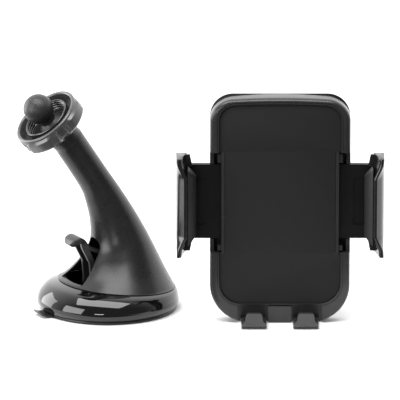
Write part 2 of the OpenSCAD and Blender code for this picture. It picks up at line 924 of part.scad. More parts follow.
gel_pad();
suction_cup();
base_frame();
base_ring();
arm_shell();
ball_stud();
base_screws();
plunger();
lever_pin();
lever();
collar_guide();
collar_nut();
thread_insert();
ball_seat();
collet();
front_shell();
face_pad();
back_cover();
retainer_plate();
retainer_screws();
back_screws();
pinion_axle();
torsion_spring();
button_spring();
pinion();
left_rack();
left_jaw();
left_jaw_pad();
left_jaw_screws();
right_rack();
right_jaw();
right_jaw_pad();
right_jaw_screws();
release_button();
pawl();
foot_slide();
foot_pads();
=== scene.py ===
# Looks of the car phone mount: materials, smooth pieces over the plain frame, a floor sheet and soft light.
import json
import math
import bmesh
import bpy
from mathutils import Matrix, Vector


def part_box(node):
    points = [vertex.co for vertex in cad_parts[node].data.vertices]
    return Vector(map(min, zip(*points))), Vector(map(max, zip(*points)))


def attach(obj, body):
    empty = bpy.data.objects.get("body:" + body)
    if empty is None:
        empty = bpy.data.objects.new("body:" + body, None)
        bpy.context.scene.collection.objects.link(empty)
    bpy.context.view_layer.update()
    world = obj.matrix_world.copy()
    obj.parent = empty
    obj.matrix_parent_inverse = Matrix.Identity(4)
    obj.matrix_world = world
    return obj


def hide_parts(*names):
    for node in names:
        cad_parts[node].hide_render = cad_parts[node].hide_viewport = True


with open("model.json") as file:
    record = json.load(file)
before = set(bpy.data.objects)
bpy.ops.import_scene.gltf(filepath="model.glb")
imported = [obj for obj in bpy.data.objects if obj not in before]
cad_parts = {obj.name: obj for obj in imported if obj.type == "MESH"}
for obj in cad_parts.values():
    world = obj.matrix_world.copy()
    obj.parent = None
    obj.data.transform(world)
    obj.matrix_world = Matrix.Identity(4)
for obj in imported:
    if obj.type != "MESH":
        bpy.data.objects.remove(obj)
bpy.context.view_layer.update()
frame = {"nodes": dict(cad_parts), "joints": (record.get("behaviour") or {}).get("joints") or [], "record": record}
nodes = frame["nodes"]
joints = {j["name"]: j for j in frame["joints"]}
MM = 0.001
SHARP_ANGLE = math.radians(35)
CAP_SIDES = 20
collection = bpy.context.scene.collection

# ---------------------------------------------------------------- places, from the frame

ball_centre = Vector(joints["collar_turn"]["pos_m"])
neck_axis = Vector(joints["collar_turn"]["axis"]).normalized()
socket_centre = Vector(joints["ball_tilt"]["pos_m"])
shell_low, shell_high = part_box("front_shell")
lean = math.atan2(neck_axis.y, neck_axis.x)
neck_tilt = math.acos(neck_axis.z)

STAND = Matrix.Rotation(lean, 4, "Z")
NECK = Matrix.Translation(ball_centre) @ STAND @ Matrix.Rotation(neck_tilt, 4, "Y")
CRADLE = Matrix.Translation(((shell_low.x + shell_high.x) / 2, shell_low.y, 0))
grip_z = socket_centre.z / MM

# ---------------------------------------------------------------- materials


def new_material(name):
    """A new node material, its node tree and its Principled shader."""
    mat = bpy.data.materials.new(name)
    mat.use_nodes = True
    shader = mat.node_tree.nodes["Principled BSDF"]
    return mat, mat.node_tree, shader


def noise(tree, scale, detail=3.0, roughness=0.55):
    """A noise texture in object space, its scale in features per metre."""
    where = tree.nodes.new("ShaderNodeTexCoord")
    tex = tree.nodes.new("ShaderNodeTexNoise")
    tex.inputs["Scale"].default_value = scale
    tex.inputs["Detail"].default_value = detail
    tex.inputs["Roughness"].default_value = roughness
    tree.links.new(where.outputs["Object"], tex.inputs["Vector"])
    return tex


def ramp(tree, source, stops):
    """A colour ramp through (position, (r, g, b)) stops."""
    node = tree.nodes.new("ShaderNodeValToRGB")
    while len(node.color_ramp.elements) < len(stops):
        node.color_ramp.elements.new(0.5)
    for element, (at, colour) in zip(node.color_ramp.elements, stops):
        element.position = at
        element.color = (*colour, 1)
    tree.links.new(source, node.inputs["Fac"])
    return node


def spread(tree, source, low, high):
    """Maps a texture's middle range on to low..high."""
    node = tree.nodes.new("ShaderNodeMapRange")
    node.inputs["From Min"].default_value = 0.3
    node.inputs["From Max"].default_value = 0.7
    node.inputs["To Min"].default_value = low
    node.inputs["To Max"].default_value = high
    tree.links.new(source, node.inputs["Value"])
    return node


def bump(tree, shader, source, strength, distance):
    """Bump from a texture, its height in metres."""
    node = tree.nodes.new("ShaderNodeBump")
    node.inputs["Strength"].default_value = strength
    node.inputs["Distance"].default_value = distance
    tree.links.new(source, node.inputs["Height"])
    tree.links.new(node.outputs["Normal"], shader.inputs["Normal"])


def grey(value):
    """A very slightly cool grey."""
    return (value, value, value * 1.03)


def plastic(name, tone, rough, grain=9000, depth=0.00001, strength=0.25, patch=60, coat=0.0, shine=0.4):
    """Moulded plastic: slightly uneven colour and gloss, with a fine spark-eroded grain.

    grain and patch are features per metre, depth is the grain's height in metres, strength its bump.
    """
    mat, tree, shader = new_material(name)
    cloud = noise(tree, patch, 4)
    colour = ramp(tree, cloud.outputs["Fac"], [(0.3, grey(tone * 0.85)), (0.7, grey(tone * 1.15))])
    tree.links.new(colour.outputs["Color"], shader.inputs["Base Color"])
    gloss = spread(tree, noise(tree, patch * 3, 5).outputs["Fac"], rough * 0.9, rough * 1.1)
    tree.links.new(gloss.outputs["Result"], shader.inputs["Roughness"])
    bump(tree, shader, noise(tree, grain, 2).outputs["Fac"], strength, depth)
    shader.inputs["Specular IOR Level"].default_value = shine
    shader.inputs["Coat Weight"].default_value = coat
    shader.inputs["Coat Roughness"].default_value = 0.04
    return mat


def foam(name, tone):
    """Very matt rubber with a dense fine pore structure."""
    mat, tree, shader = new_material(name)
    pores = noise(tree, 5200, 6, 0.7)
    colour = ramp(tree, pores.outputs["Fac"], [(0.35, grey(tone * 0.7)), (0.65, grey(tone * 1.25))])
    tree.links.new(colour.outputs["Color"], shader.inputs["Base Color"])
    shader.inputs["Roughness"].default_value = 0.95
    shader.inputs["Specular IOR Level"].default_value = 0.18
    bump(tree, shader, pores.outputs["Fac"], 0.5, 0.00003)
    return mat


def steel(name, tone, rough):
    """Plain or plated steel with fine drawn lines."""
    mat, tree, shader = new_material(name)
    lines = noise(tree, 2600, 4)
    colour = ramp(tree, lines.outputs["Fac"], [(0.3, grey(tone * 0.8)), (0.7, grey(tone * 1.1))])
    tree.links.new(colour.outputs["Color"], shader.inputs["Base Color"])
    shader.inputs["Metallic"].default_value = 1
    gloss = spread(tree, lines.outputs["Fac"], rough * 0.7, rough * 1.3)
    tree.links.new(gloss.outputs["Result"], shader.inputs["Roughness"])
    bump(tree, shader, lines.outputs["Fac"], 0.15, 0.00001)
    return mat


LOOKS = {
    "gel": plastic("gel", 0.03, 0.12, 600, 0.00002, 0.1),
    "cup_rubber": plastic("cup_rubber", 0.012, 0.35, 4000, 0.00001, 0.2),
    "inner_plastic": plastic("inner_plastic", 0.012, 0.5),
    "ring_gloss": plastic("ring_gloss", 0.003, 0.045, 700, 0.000004, 0.04, 40, 0.3),
    "arm_satin": plastic("arm_satin", 0.015, 0.28, 2600, 0.00006, 0.5),
    "ball_satin": plastic("ball_satin", 0.022, 0.36, 1500, 0.0002, 0.9, 300),
    "screw_steel": steel("screw_steel", 0.42, 0.3),
    "pin_steel": steel("pin_steel", 0.5, 0.22),
    "lever_satin": plastic("lever_satin", 0.018, 0.36),
    "nut_gloss": plastic("nut_gloss", 0.055, 0.24, 5000, 0.00001, 0.2, shine=0.7),
    "insert_plastic": plastic("insert_plastic", 0.016, 0.25, shine=0.7),
    "seat_rubber": plastic("seat_rubber", 0.015, 0.7),
    "collet_plastic": plastic("collet_plastic", 0.014, 0.4),
    "case_satin": plastic("case_satin", 0.022, 0.25, 6000, 0.000006, 0.15),
    "pad_rubber": foam("pad_rubber", 0.018),
    "cover_satin": plastic("cover_satin", 0.011, 0.42, 4500, 0.00002, 0.4),
    "plate_steel": steel("plate_steel", 0.4, 0.35),
    "spring_steel": steel("spring_steel", 0.45, 0.25),
    "gear_plastic": plastic("gear_plastic", 0.6, 0.45),
    "slide_plastic": plastic("slide_plastic", 0.004, 0.4, shine=0.2),
    "jaw_gloss": plastic("jaw_gloss", 0.008, 0.22, 5000, 0.000006, 0.12),
    "jaw_rubber": plastic("jaw_rubber", 0.01, 0.5, 3500, 0.00001, 0.3),
    "button_gloss": plastic("button_gloss", 0.01, 0.2),
    "foot_satin": plastic("foot_satin", 0.03, 0.25, shine=0.6),
}
SLOTS = {part["node"]: part["material_slot"] for part in frame["record"]["subparts"]}

# ---------------------------------------------------------------- smoothing


def smooth_by_angle(obj):
    """Smooth shading, with edges over SHARP_ANGLE kept sharp and many-sided caps kept flat."""
    for poly in obj.data.polygons:
        poly.use_smooth = len(poly.vertices) < CAP_SIDES
    obj.data.set_sharp_from_angle(angle=SHARP_ANGLE)


def soften(obj, width):
    """Rounds every hard edge by width, in millimetres."""
    mod = obj.modifiers.new("soft_edges", "BEVEL")
    mod.width = width * MM
    mod.segments = 2
    mod.limit_method = "ANGLE"
    mod.angle_limit = SHARP_ANGLE
    mod.use_clamp_overlap = True
    mod.harden_normals = False


# ---------------------------------------------------------------- mesh tools


def piece(name, verts, faces, body, look, replaced=(), place=Matrix.Identity(4)):
    """A closed mesh in millimetres, put in place, that rides on a body and stands for CAD nodes."""
    mesh = bpy.data.meshes.new(name)
    mesh.from_pydata([place_mm(place, v) for v in verts], [], faces)
    obj = bpy.data.objects.new(name, mesh)
    collection.objects.link(obj)
    outward(mesh)
    mesh.materials.append(LOOKS[look])
    smooth_by_angle(obj)
    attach(obj, body)
    if replaced:
        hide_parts(*replaced)
    return obj


def place_mm(place, point):
    """A point given in millimetres, put in place in metres."""
    return place @ (Vector(point) * MM)


def outward(mesh):
    """Turns every face's normal outwards."""
    work = bmesh.new()
    work.from_mesh(mesh)
    bmesh.ops.recalc_face_normals(work, faces=work.faces)
    work.to_mesh(mesh)
    work.free()


def skin(rings, ends="cap"):
    """Vertices and faces over rings of equal length, with the ends capped ("cap") or joined ("loop")."""
    count = len(rings[0])
    verts = [p for ring in rings for p in ring]
    faces = []
    spans = len(rings) if ends == "loop" else len(rings) - 1
    for i in range(spans):
        a, b = i * count, (i + 1) % len(rings) * count
        for k in range(count):
            n = (k + 1) % count
            faces.append((a + k, a + n, b + n, b + k))
    if ends == "cap":
        faces.append(tuple(range(count)))
        faces.append(tuple(range(len(verts) - 1, len(verts) - count - 1, -1)))
    return verts, faces


def catmull(stations, steps):
    """Catmull-Rom points through stations, each a tuple of numbers."""
    last = len(stations) - 1
    out = []
    for i in range(last):
        a, b, c, d = (stations[max(0, min(last, i + k))] for k in (-1, 0, 1, 2))
        for s in range(steps):
            t = s / steps
            out.append(tuple(
                q + t / 2 * (r - p + t * (2 * p - 5 * q + 4 * r - w + t * (3 * q - 3 * r + w - p)))
                for p, q, r, w in zip(a, b, c, d)
            ))
    out.append(stations[last])
    return out


def circle_ring(station, count, inset=0.0):
    """A tilted circle in the stand's plane: distance along the lean, height, radius, tilt in degrees."""
    u, z, r, tilt = station
    turn = Matrix.Translation((u, 0, z)) @ Matrix.Rotation(math.radians(tilt), 4, "Y")
    return [
        turn @ Vector(((r - inset) * math.cos(a), (r - inset) * math.sin(a), 0))
        for a in (2 * math.pi * k / count for k in range(count))
    ]


def rounded(corners, steps=8):
    """A closed outline through (x, y, radius) corners, each rounded by an arc of steps spans."""
    out = []
    count = len(corners)
    for i, (x, y, r) in enumerate(corners):
        here = Vector((x, y))
        before = (Vector(corners[i - 1][:2]) - here).normalized()
        after = (Vector(corners[(i + 1) % count][:2]) - here).normalized()
        half = before.angle(after) / 2
        reach = max(r, 1e-4) / math.tan(half)
        middle = here + (before + after).normalized() * (max(r, 1e-4) / math.sin(half))
        start, end = here + before * reach - middle, here + after * reach - middle
        turn = math.atan2(start.x * end.y - start.y * end.x, start.dot(end))
        for s in range(steps + 1):
            a = turn * s / steps
            out.append(Vector((
                middle.x + start.x * math.cos(a) - start.y * math.sin(a),
                middle.y + start.x * math.sin(a) + start.y * math.cos(a),
            )))
    return out


def arc(cx, cy, r, start, end, steps):
    """Points on an arc, angles in degrees."""
    span = [math.radians(start + (end - start) * s / steps) for s in range(steps + 1)]
    return [(cx + r * math.cos(a), cy + r * math.sin(a)) for a in span]


def revolve(profile, count, wobble=None):
    """Rings of a closed (radius, height) profile turned about Z; wobble(angle, r, h) may shift r."""
    rings = []
    for k in range(count):
        a = 2 * math.pi * k / count
        ring = []
        for r, h in profile:
            real = wobble(a, r, h) if wobble else r
            ring.append(Vector((real * math.cos(a), real * math.sin(a), h)))
        rings.append(ring)
    return skin(rings, "loop")


def prism(outline, low, high, axis="z"):
    """A straight prism; the outline's two numbers are (x, y), (x, z) or (y, z) for axis z, y or x."""
    def at(p, depth):
        return {"z": (p[0], p[1], depth), "y": (p[0], depth, p[1]), "x": (depth, p[0], p[1])}[axis]
    return skin([[at(p, d) for p in outline] for d in (low, high)])


def carve(obj, solids, place):
    """Cuts solids, given as (verts, faces) in millimetres, out of a piece, and applies the cut."""
    for verts, faces in solids:
        mesh = bpy.data.meshes.new("cutter")
        mesh.from_pydata([place_mm(place, v) for v in verts], [], faces)
        outward(mesh)
        cutter = bpy.data.objects.new("cutter", mesh)
        collection.objects.link(cutter)
        mod = obj.modifiers.new("cut", "BOOLEAN")
        mod.operation = "DIFFERENCE"
        mod.solver = "EXACT"
        mod.object = cutter
        apply_modifiers(obj)
        bpy.data.objects.remove(cutter)
    smooth_by_angle(obj)


def apply_modifiers(obj):
    """Bakes the modifiers into the mesh, keeping its materials."""
    ready = obj.evaluated_get(bpy.context.evaluated_depsgraph_get())
    mesh = bpy.data.meshes.new_from_object(ready)
    obj.modifiers.clear()
    obj.data = mesh


def oblong(half, thick, radius, steps):
    """A flat rounded section, half wide and thick to each side of its middle."""
    return rounded([(-half, -thick, radius), (half, -thick, radius), (half, thick, radius),
                    (-half, thick, radius)], steps)


def brick(x0, x1, y0, y1, z0, z1):
    """A box between its limits."""
    return prism([(x0, y0), (x1, y0), (x1, y1), (x0, y1)], z0, z1)


# ---------------------------------------------------------------- stand

ROUND = 128
# Stations of the arm: distance along the lean, height, radius, tilt of the section, in mm and degrees
ARM = [
    (-4.65, 12.4, 29.6, -5.2), (-5.4, 18.5, 24.6, -1.5), (-5.8, 24, 20.9, 2), (-6, 29.3, 17.9, 5),
    (-5.3, 36.9, 14.4, 11), (-1.7, 47.9, 11.4, 20), (3.2, 58.9, 9.3, 26), (8.6, 68.6, 8.15, 31),
    (22.7, 89.8, 8, 39.5),
]
ARM_END = 11
ARM_WALL = 2
ARM_STEPS = 8
SOLID_STEPS = 6


def make_arm():
    """Hollow leaning arm: inner skin from its top down, then the outer skin up to the solid end."""
    path = catmull(ARM, ARM_STEPS)
    inner = [circle_ring(s, ROUND, ARM_WALL) for s in path[:-SOLID_STEPS]]
    base = path[0]
    lip = [circle_ring((base[0], base[1] + h, base[2] - d, base[3]), ROUND) for d, h in
           ((0.5, 0), (0.15, 0.12), (0, 0.4))]
    outer = [circle_ring(s, ROUND) for s in path[1:]]
    neck_to_stand = STAND.inverted() @ NECK
    r = ARM[-1][2]
    # Radius and height on the neck's axis: the straight end and its rounded edge
    end = [(r, -18), (r, -12.2), (r - 0.15, -11.5), (r - 0.5, -ARM_END - 0.15), (r - 1.1, -ARM_END)]
    tip = [[neck_to_stand @ (Vector((q * math.cos(a), q * math.sin(a), h)) * MM) / MM
            for a in (2 * math.pi * k / ROUND for k in range(ROUND))] for q, h in end]
    verts, faces = skin(inner[::-1] + lip + outer + tip)
    obj = piece("arm", verts, faces, "stand", "arm_satin", ["arm_shell"], STAND)
    carve(obj, [slot_prism()], STAND)


SLOT_R, SLOT_TOP = 6.4, 31
SLOT_LOW_HALF, SLOT_LOW, SLOT_SILL = 10.8, 16.6, 16.0
SLOT_FROM, SLOT_TO = 4, 44


def slot_prism():
    """The lever's slot, round at the top and wider towards the base."""
    top = arc(0, SLOT_TOP, SLOT_R, 0, 180, 24)
    side = catmull([(SLOT_R, SLOT_TOP), (SLOT_R + 0.9, 26), (SLOT_LOW_HALF - 1.4, 20),
                    (SLOT_LOW_HALF, SLOT_LOW)], 5)[1:]
    left = [(-y, z) for y, z in side]
    right = side[::-1]
    low = [(-SLOT_LOW_HALF, SLOT_SILL), (SLOT_LOW_HALF, SLOT_SILL)]
    return prism(top + left + low + right, SLOT_FROM, SLOT_TO, "x")


# Stations of the ring's outer face, as for the arm
RING = [
    (0.4, 2.3, 34.9, 0), (0.4, 4.2, 35.8, 0), (0.3, 6.6, 35.6, -0.5), (-0.5, 9, 34.6, -2),
    (-2.2, 11.2, 32.6, -4), (-4.65, 12.3, 29.8, -5.2),
]


def make_ring():
    """Glossy bulging ring: its sections go from below up the outside, over the seam and down inside."""
    outer = catmull(RING, 10)
    under = [(0.2, 2.0, 33.4, 0), (0.4, 2.02, 34.4, 0), (0.4, 2.12, 34.7, 0)]
    inside = [
        (-4.65, 12.34, 29.3, -5.2), (-4.65, 12.3, 25.6, -5.2), (-4.65, 9.8, 25.6, -5.2),
        (-1.5, 9.2, 31.0, -2.5), (-0.4, 7.8, 32.6, -0.5), (0, 4.5, 33.0, 0), (0, 2.4, 32.95, 0),
    ]
    rings = [circle_ring(s, 192) for s in under + outer + inside]
    verts, faces = skin(rings, "loop")
    piece("gloss_ring", verts, faces, "stand", "ring_gloss", ["base_ring"], STAND)


# Radius and height round the cup, from the gel's face outwards, over the rim and back
CUP = [
    (0.01, 0.85), (31.9, 0.85), (31.95, 0.1), (32.2, 0), (33.6, 0), (34.1, 0.15), (34.3, 0.6),
    (34.2, 1.2), (33.8, 1.75), (33.2, 2.0), (30, 2.1), (20, 2.2), (0.01, 2.2),
]
TAB_START, TAB_LENGTH, TAB_HALF = 31.5, 9.2, 5.3
TAB_CURL, TAB_FLAT, TAB_LOW, TAB_LIFT = 1.35, 0.35, 0.95, 2.3


def make_cup():
    """Thin-edged suction cup: a disc with a soft rim, and the pull tab that curls up."""
    verts, faces = revolve(CUP, 160)
    piece("cup", verts, faces, "stand", "cup_rubber", (), STAND)
    rows = []
    for s in range(13):
        t = s / 12
        reach = TAB_START + TAB_LENGTH * math.sin(t * TAB_CURL) / math.sin(TAB_CURL)
        rise = TAB_LOW + TAB_LIFT * max(0, t - TAB_FLAT) ** 1.6 / (1 - TAB_FLAT) ** 1.6
        half = TAB_HALF * math.sqrt(max(0.0, 1 - max(0, (t - 0.5) / 0.52) ** 2.4))
        thick = 0.85 - 0.25 * t
        rows.append([(reach + 0.35 * p.y * t, p.x, rise + p.y) for p in oblong(half, thick, 0.4, 3)])
    verts, faces = skin(rows)
    piece("pull_tab", verts, faces, "stand", "cup_rubber", ["suction_cup"], STAND)


BALL_R, STUD_TOP_R = 7.5, 4.4
# Radius and height of the stud under the ball, down to its foot on the arm's end
STUD = [
    (4.35, -6.35), (4.12, -6.8), (4.0, -7.4), (4.1, -8.6), (5.4, -9.8), (7.15, -10.9), (0.02, -10.9),
]


def make_ball():
    """Ball on its waisted stud, drawn as one turned profile about the neck's axis."""
    low = math.degrees(math.asin(STUD_TOP_R / BALL_R))
    profile = [(0.02, BALL_R)] + arc(0, 0, BALL_R, 89, -90 + low + 6, 64) + STUD
    verts, faces = revolve(profile, 96)
    piece("ball", verts, faces, "stand", "ball_satin", ["ball_stud"], NECK)


NUT_FRONT, NUT_BACK = -5.5, -14.9
NUT_R, LOBE_R, GROOVE_R = 17.3, 18.5, 15.95
# Round the nut, in degrees: the first lobe's place, then the half width and fade of a lobe and a groove
LOBE_TURN = 37
LOBE_HALF, LOBE_FADE = 18, 13
GROOVE_HALF, GROOVE_FADE = 4, 6
# The raised lip beside a groove: degrees from the groove's middle, and its height in millimetres
LIP_FROM, LIP_FADE_IN, LIP_TO, LIP_FADE_OUT, LIP_RISE = 8, 2.5, 13, 5, 0.35
# Along the nut, in millimetres: a lobe's ramp at the back, and where lobes and grooves end short of the front
LOBE_RAMP, LOBE_SHORT, LOBE_END = 2.6, 2.4, 1.2
GROOVE_SHORT, GROOVE_END = 2.6, 0.5


def ease(t):
    """A smooth step from 0 to 1 while t goes from 0 to 1."""
    t = max(0.0, min(1.0, t))
    return t * t * (3 - 2 * t)


def nut_radius(angle, r, h):
    """The turned body's radius, raised on four lobes and cut by four grooves between them."""
    if r < 15.9 or h < NUT_BACK + 0.05:
        return r
    turn = (math.degrees(angle) - LOBE_TURN + 45) % 90 - 45
    lobe = 1 - ease((abs(turn) - LOBE_HALF) / LOBE_FADE)
    rise = ease((h - NUT_BACK) / LOBE_RAMP) * (1 - ease((h - NUT_FRONT + LOBE_SHORT) / LOBE_END))
    real = r + (LOBE_R - NUT_R) * lobe * rise
    off = abs((math.degrees(angle) - LOBE_TURN) % 90 - 45)
    groove = 1 - max(0.0, min(1.0, (off - GROOVE_HALF) / GROOVE_FADE))
    depth = 1 - ease((h - NUT_FRONT + GROOVE_SHORT) / GROOVE_END)
    lip = ease((off - LIP_FROM) / LIP_FADE_IN) * (1 - ease((off - LIP_TO) / LIP_FADE_OUT))
    return real - (NUT_R - GROOVE_R) * groove * depth + LIP_RISE * lip * depth * rise


def make_nut():
    """Lobed collar nut with a rounded front rim and a deep recess."""
    front, base = NUT_FRONT, NUT_BACK
    profile = [(9.25, base), (14.6, base), (15.3, base + 0.12), (16.0, base + 0.5), (16.7, base + 1.15)]
    profile += [(17.1, base + 1.9), (17.32, base + 2.6)]
    profile += [(NUT_R, base + 3.2 + 0.55 * i) for i in range(10)]
    profile += [(17.36, front - 0.62), (17.25, front - 0.38), (17.05, front - 0.15), (16.75, front)]
    profile += [(16.15, front), (15.8, front - 0.12), (15.55, front - 0.4), (15.42, front - 0.9)]
    profile += [(15.4, base + 3.4), (10.3, base + 3.4), (10.3, base + 2.2), (9.25, base + 2.2)]
    verts, faces = revolve(profile, 360, nut_radius)
    piece("lobed_nut", verts, faces, "collar", "nut_gloss", ["collar_nut"], NECK)


INSERT_R, BORE_R = 12.2, 11.2
THREAD_PITCH, THREAD_DEPTH = 1.4, 0.42


def make_insert():
    """Ring with a real helical thread inside and a chamfered front edge."""
    low, top = NUT_BACK + 3.4, NUT_FRONT - 0.6
    inside = [(BORE_R, top - 0.25 - (top - low - 0.3) * i / 40) for i in range(41)]
    profile = [(INSERT_R, low), (INSERT_R, top - 0.25), (11.95, top), (11.45, top)] + inside
    profile += [(BORE_R, low)]

    def thread(angle, r, h):
        """Moves only the bore: out in the thread's valleys, and not at all on its flat crests."""
        if r > BORE_R + 0.1:
            return r
        phase = ((h - low) / THREAD_PITCH - angle / (2 * math.pi)) % 1
        ridge = max(0.0, 1 - abs(phase - 0.5) / 0.26)
        return r + THREAD_DEPTH - THREAD_DEPTH * min(1.0, ridge * 1.3)

    verts, faces = revolve(profile, 180, thread)
    piece("threaded_ring", verts, faces, "collar", "insert_plastic", ["thread_insert"], NECK)


# Middle line of the lever's plate: along the lean, height, half width, half thickness
LEVER = [
    (1.9, 28.4, 4.6, 0.75), (6.4, 30.2, 4.7, 0.8), (11.2, 32.0, 4.7, 0.85), (14.0, 34.4, 4.8, 0.95),
    (16.0, 36.8, 5.2, 1.2), (18.2, 38.0, 5.8, 1.5), (20.4, 37.2, 5.6, 1.8), (21.7, 35.9, 4.4, 1.7),
    (22.4, 34.9, 2.5, 1.2),
]

PIN_U, PIN_Z, PIN_EYE_R = 3.5, 13, 3.2
CAM_OFFSET, CAM_TURN, CAM_R = 4.283, 20.5, 5
CHEEK_IN, CHEEK_T = 3.3, 1.6
SPOON_DEPTH, SPOON_FROM, SPOON_OVER = 0.4, 14, 5
# Side view of a cheek's strut, from the cam up to the plate and back
STRUT = [
    (13, 25.2), (17.2, 33.6), (18, 36.6), (16.6, 36.8), (13.6, 33.8), (12.6, 31.4), (10.2, 26),
    (8.4, 22.4), (6, 19), (2, 15.8),
]


def make_lever():
    """Swept thumb plate ending in a hollowed spoon, over two cheeks with round cams."""
    path = catmull(LEVER, 8)
    rings = []
    for i, (u, z, half, thick) in enumerate(path):
        a, b = path[max(0, i - 1)], path[min(len(path) - 1, i + 1)]
        along = Vector((b[0] - a[0], 0, b[1] - a[1])).normalized()
        up = Vector((-along.z, 0, along.x))
        spoon = SPOON_DEPTH * ease((u - SPOON_FROM) / SPOON_OVER)
        ring = []
        for q in oblong(half, thick, 0.6 * thick, 4):
            dish = spoon * (1 - (q.x / half) ** 2)
            ring.append(Vector((u, 0, z)) + Vector((0, q.x, 0)) + up * (q.y - dish))
        rings.append(ring)
    verts, faces = skin(rings)
    obj = piece("thumb_lever", verts, faces, "lever", "lever_satin", ["lever"], STAND)
    cam_u = PIN_U + CAM_OFFSET * math.cos(math.radians(CAM_TURN))
    cam_z = PIN_Z + CAM_OFFSET * math.sin(math.radians(CAM_TURN))
    side = arc(PIN_U, PIN_Z, PIN_EYE_R, 170, 250, 10) + arc(cam_u, cam_z, CAM_R, -120, 20, 24) + STRUT
    for y in (CHEEK_IN, -CHEEK_IN - CHEEK_T):
        add_solid(obj, prism(side, y, y + CHEEK_T, "y"), STAND)
    smooth_by_angle(obj)
    soften(obj, 0.3)


def add_solid(obj, solid, place):
    """Adds another closed solid, in millimetres, to a piece's mesh."""
    verts, faces = solid
    mesh = bpy.data.meshes.new("extra")
    mesh.from_pydata([place_mm(place, v) for v in verts], [], faces)
    outward(mesh)
    work = bmesh.new()
    work.from_mesh(obj.data)
    work.from_mesh(mesh)
    work.to_mesh(obj.data)
    work.free()
    bpy.data.meshes.remove(mesh)


# ---------------------------------------------------------------- cradle

HALF_W, TOP, DEEP = 34.9, 115.5, 10
NOTCH_IN, NOTCH_HALF = 29.2, 25.7
PLATE_IN, PLATE_HALF = 26.9, 19.3
FOOT_IN, FOOT_OUT, TONGUE_HALF = 6.3, 19.5, 5.85
STRIP_IN, BLOCK_IN, BLOCK_OUT = 27.6, 29.3, 31.1
CASE_LOW_R, CASE_TOP_R = 19.5, 11.5
POCKET_HALF, POCKET_LOW, POCKET_TOP = 30.2, 10, 112.5
POCKET_LOW_R, POCKET_TOP_R = 11, 8
PAD_HALF, PAD_WAIST, PAD_LOW, PAD_TOP, WAIST_HALF = 30.15, 27.5, 10.05, 112.45, 26.3
CROWN_FROM, CROWN_OVER, CROWN_DROP, CROWN_HALF = 100, 15, 1.1, 30
# Side view of what is cut off the front's lower middle: distance behind the front face, height
CHIN = [(-1, 9.9), (1.2, 9.9), (2.6, 3.2), (2.6, -1), (-1, -1)]
CHIN_HALF = 21
LEFT = CRADLE @ Matrix.Translation((0, 0, socket_centre.z))
RIGHT = LEFT @ Matrix.Rotation(math.pi, 4, "Y")


def outline(corners, steps=20, spans=8):
    """As rounded(), with every straight edge divided into spans."""
    points = rounded(corners, steps)
    out = []
    for c in range(len(corners)):
        out += points[c * (steps + 1) : (c + 1) * (steps + 1)]
        start, end = out[-1], points[(c + 1) * (steps + 1) % len(points)]
        out += [start.lerp(end, s / spans) for s in range(1, spans)]
    return out


def arched(points):
    """Crowns the top edge slightly, so that it falls away from its middle."""
    return [
        Vector((p.x, p.y - max(0, p.y - CROWN_FROM) / CROWN_OVER * CROWN_DROP * (p.x / CROWN_HALF) ** 2))
        for p in points
    ]


def case(inset):
    """The case's outline seen from the front, drawn in by inset."""
    w, low, top = HALF_W - inset, inset, TOP - inset
    return arched(outline([(-w, low, CASE_LOW_R - inset), (w, low, CASE_LOW_R - inset),
                           (w, top, CASE_TOP_R - inset), (-w, top, CASE_TOP_R - inset)]))


def pocket(grow):
    """The outline of the pad's pocket, widened by grow."""
    w, low, top = POCKET_HALF + grow, POCKET_LOW - grow, POCKET_TOP + grow
    return arched(outline([(-w, low, POCKET_LOW_R + grow), (w, low, POCKET_LOW_R + grow),
                           (w, top, POCKET_TOP_R + grow), (-w, top, POCKET_TOP_R + grow)]))


def make_shell():
    """Front shell: hollow behind, with a rounded rim, a fine groove round the pad, and its openings."""
    # Outline and depth behind the front face, from the hollow over the rim and groove to the pocket
    rows = [
        (case(2), 3.4), (case(2), DEEP), (case(0.25), DEEP), (case(0), 9.75), (case(0), 2.6),
        (case(0.06), 1.9), (case(0.25), 1.2), (case(0.6), 0.55), (case(1.05), 0.15), (case(1.3), 0.03),
        (pocket(1.25), 0), (pocket(1.1), 0.02), (pocket(1.05), 0.4), (pocket(0.75), 0.4),
        (pocket(0.7), 0.02), (pocket(0.3), 0), (pocket(0.08), 0.1), (pocket(0), 0.35), (pocket(0), 1.62),
    ]
    verts, faces = skin([[Vector((p.x, y, p.y)) for p in row] for row, y in rows])
    obj = piece("case_front", verts, faces, "cradle", "case_satin", ["front_shell"], CRADLE)
    z = grip_z
    cuts = []
    for s in (-1, 1):
        a, b = sorted((s * NOTCH_IN, s * 50))
        cuts.append(brick(a, b, -1, 3.5, z - NOTCH_HALF, z + NOTCH_HALF))
        a, b = sorted((s * PLATE_IN, s * 50))
        cuts.append(brick(a, b, 3.5, 7.4, z - PLATE_HALF, z + PLATE_HALF))
        a, b = sorted((s * FOOT_IN, s * FOOT_OUT))
        cuts.append(brick(a, b, -1, 7, -1, 3.8))
    cuts.append(prism(CHIN, -CHIN_HALF, CHIN_HALF, "x"))
    carve(obj, cuts, CRADLE)
    for s in (-1, 1):
        a, b = sorted((s * STRIP_IN, s * NOTCH_IN))
        add_solid(obj, brick(a, b, 0.7, 3.3, z - NOTCH_HALF - 0.6, z + NOTCH_HALF + 0.6), CRADLE)
        a, b = sorted((s * BLOCK_IN, s * BLOCK_OUT))
        add_solid(obj, brick(a, b, 1.6, 3.5, z + 20.3, z + 24.6), CRADLE)
        add_solid(obj, brick(a, b, 1.2, 3.5, z - 24.7, z - 22.2), CRADLE)
    tongue = rounded([(-TONGUE_HALF, 0.3, 0.8), (TONGUE_HALF, 0.3, 0.8),
                      (TONGUE_HALF, 8.6, 0.5), (-TONGUE_HALF, 8.6, 0.5)], 4)
    add_solid(obj, prism(tongue, 0.4, 3.3, "y"), CRADLE)
    smooth_by_angle(obj)
    soften(obj, 0.22)


